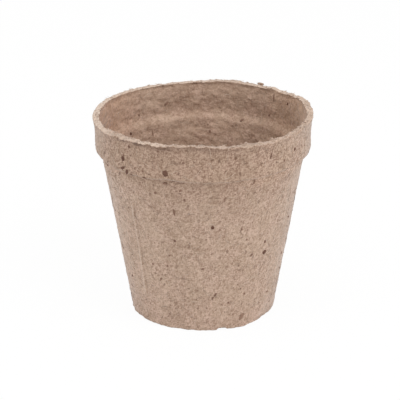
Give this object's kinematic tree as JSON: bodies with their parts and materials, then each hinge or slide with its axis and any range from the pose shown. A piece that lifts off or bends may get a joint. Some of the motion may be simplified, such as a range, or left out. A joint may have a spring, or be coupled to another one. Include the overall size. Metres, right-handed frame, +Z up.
{
  "type": "peat pot",
  "caption": "Round tapered seedling pot felted from peat and wood fibre, with a stepped collar that holds it in a tray, an open mouth, a rounded foot and drain notches.",
  "frame": {"origin": "middle of the underside, on the surface that the pot stands on", "axes": "+Z up along the pot's axis, -Y towards the pictured front"},
  "size_m": [0.0796, 0.0796, 0.0745],
  "materials": {
    "felt": "rough matte felt of peat and wood fibre, unpainted",
    "bark": "raw dark bark, matte"
  },
  "bodies": {
    "root": {"base": "felt", "wall": "felt", "collar": "felt", "bark_crumbs": "bark"}
  },
  "joints": []
}
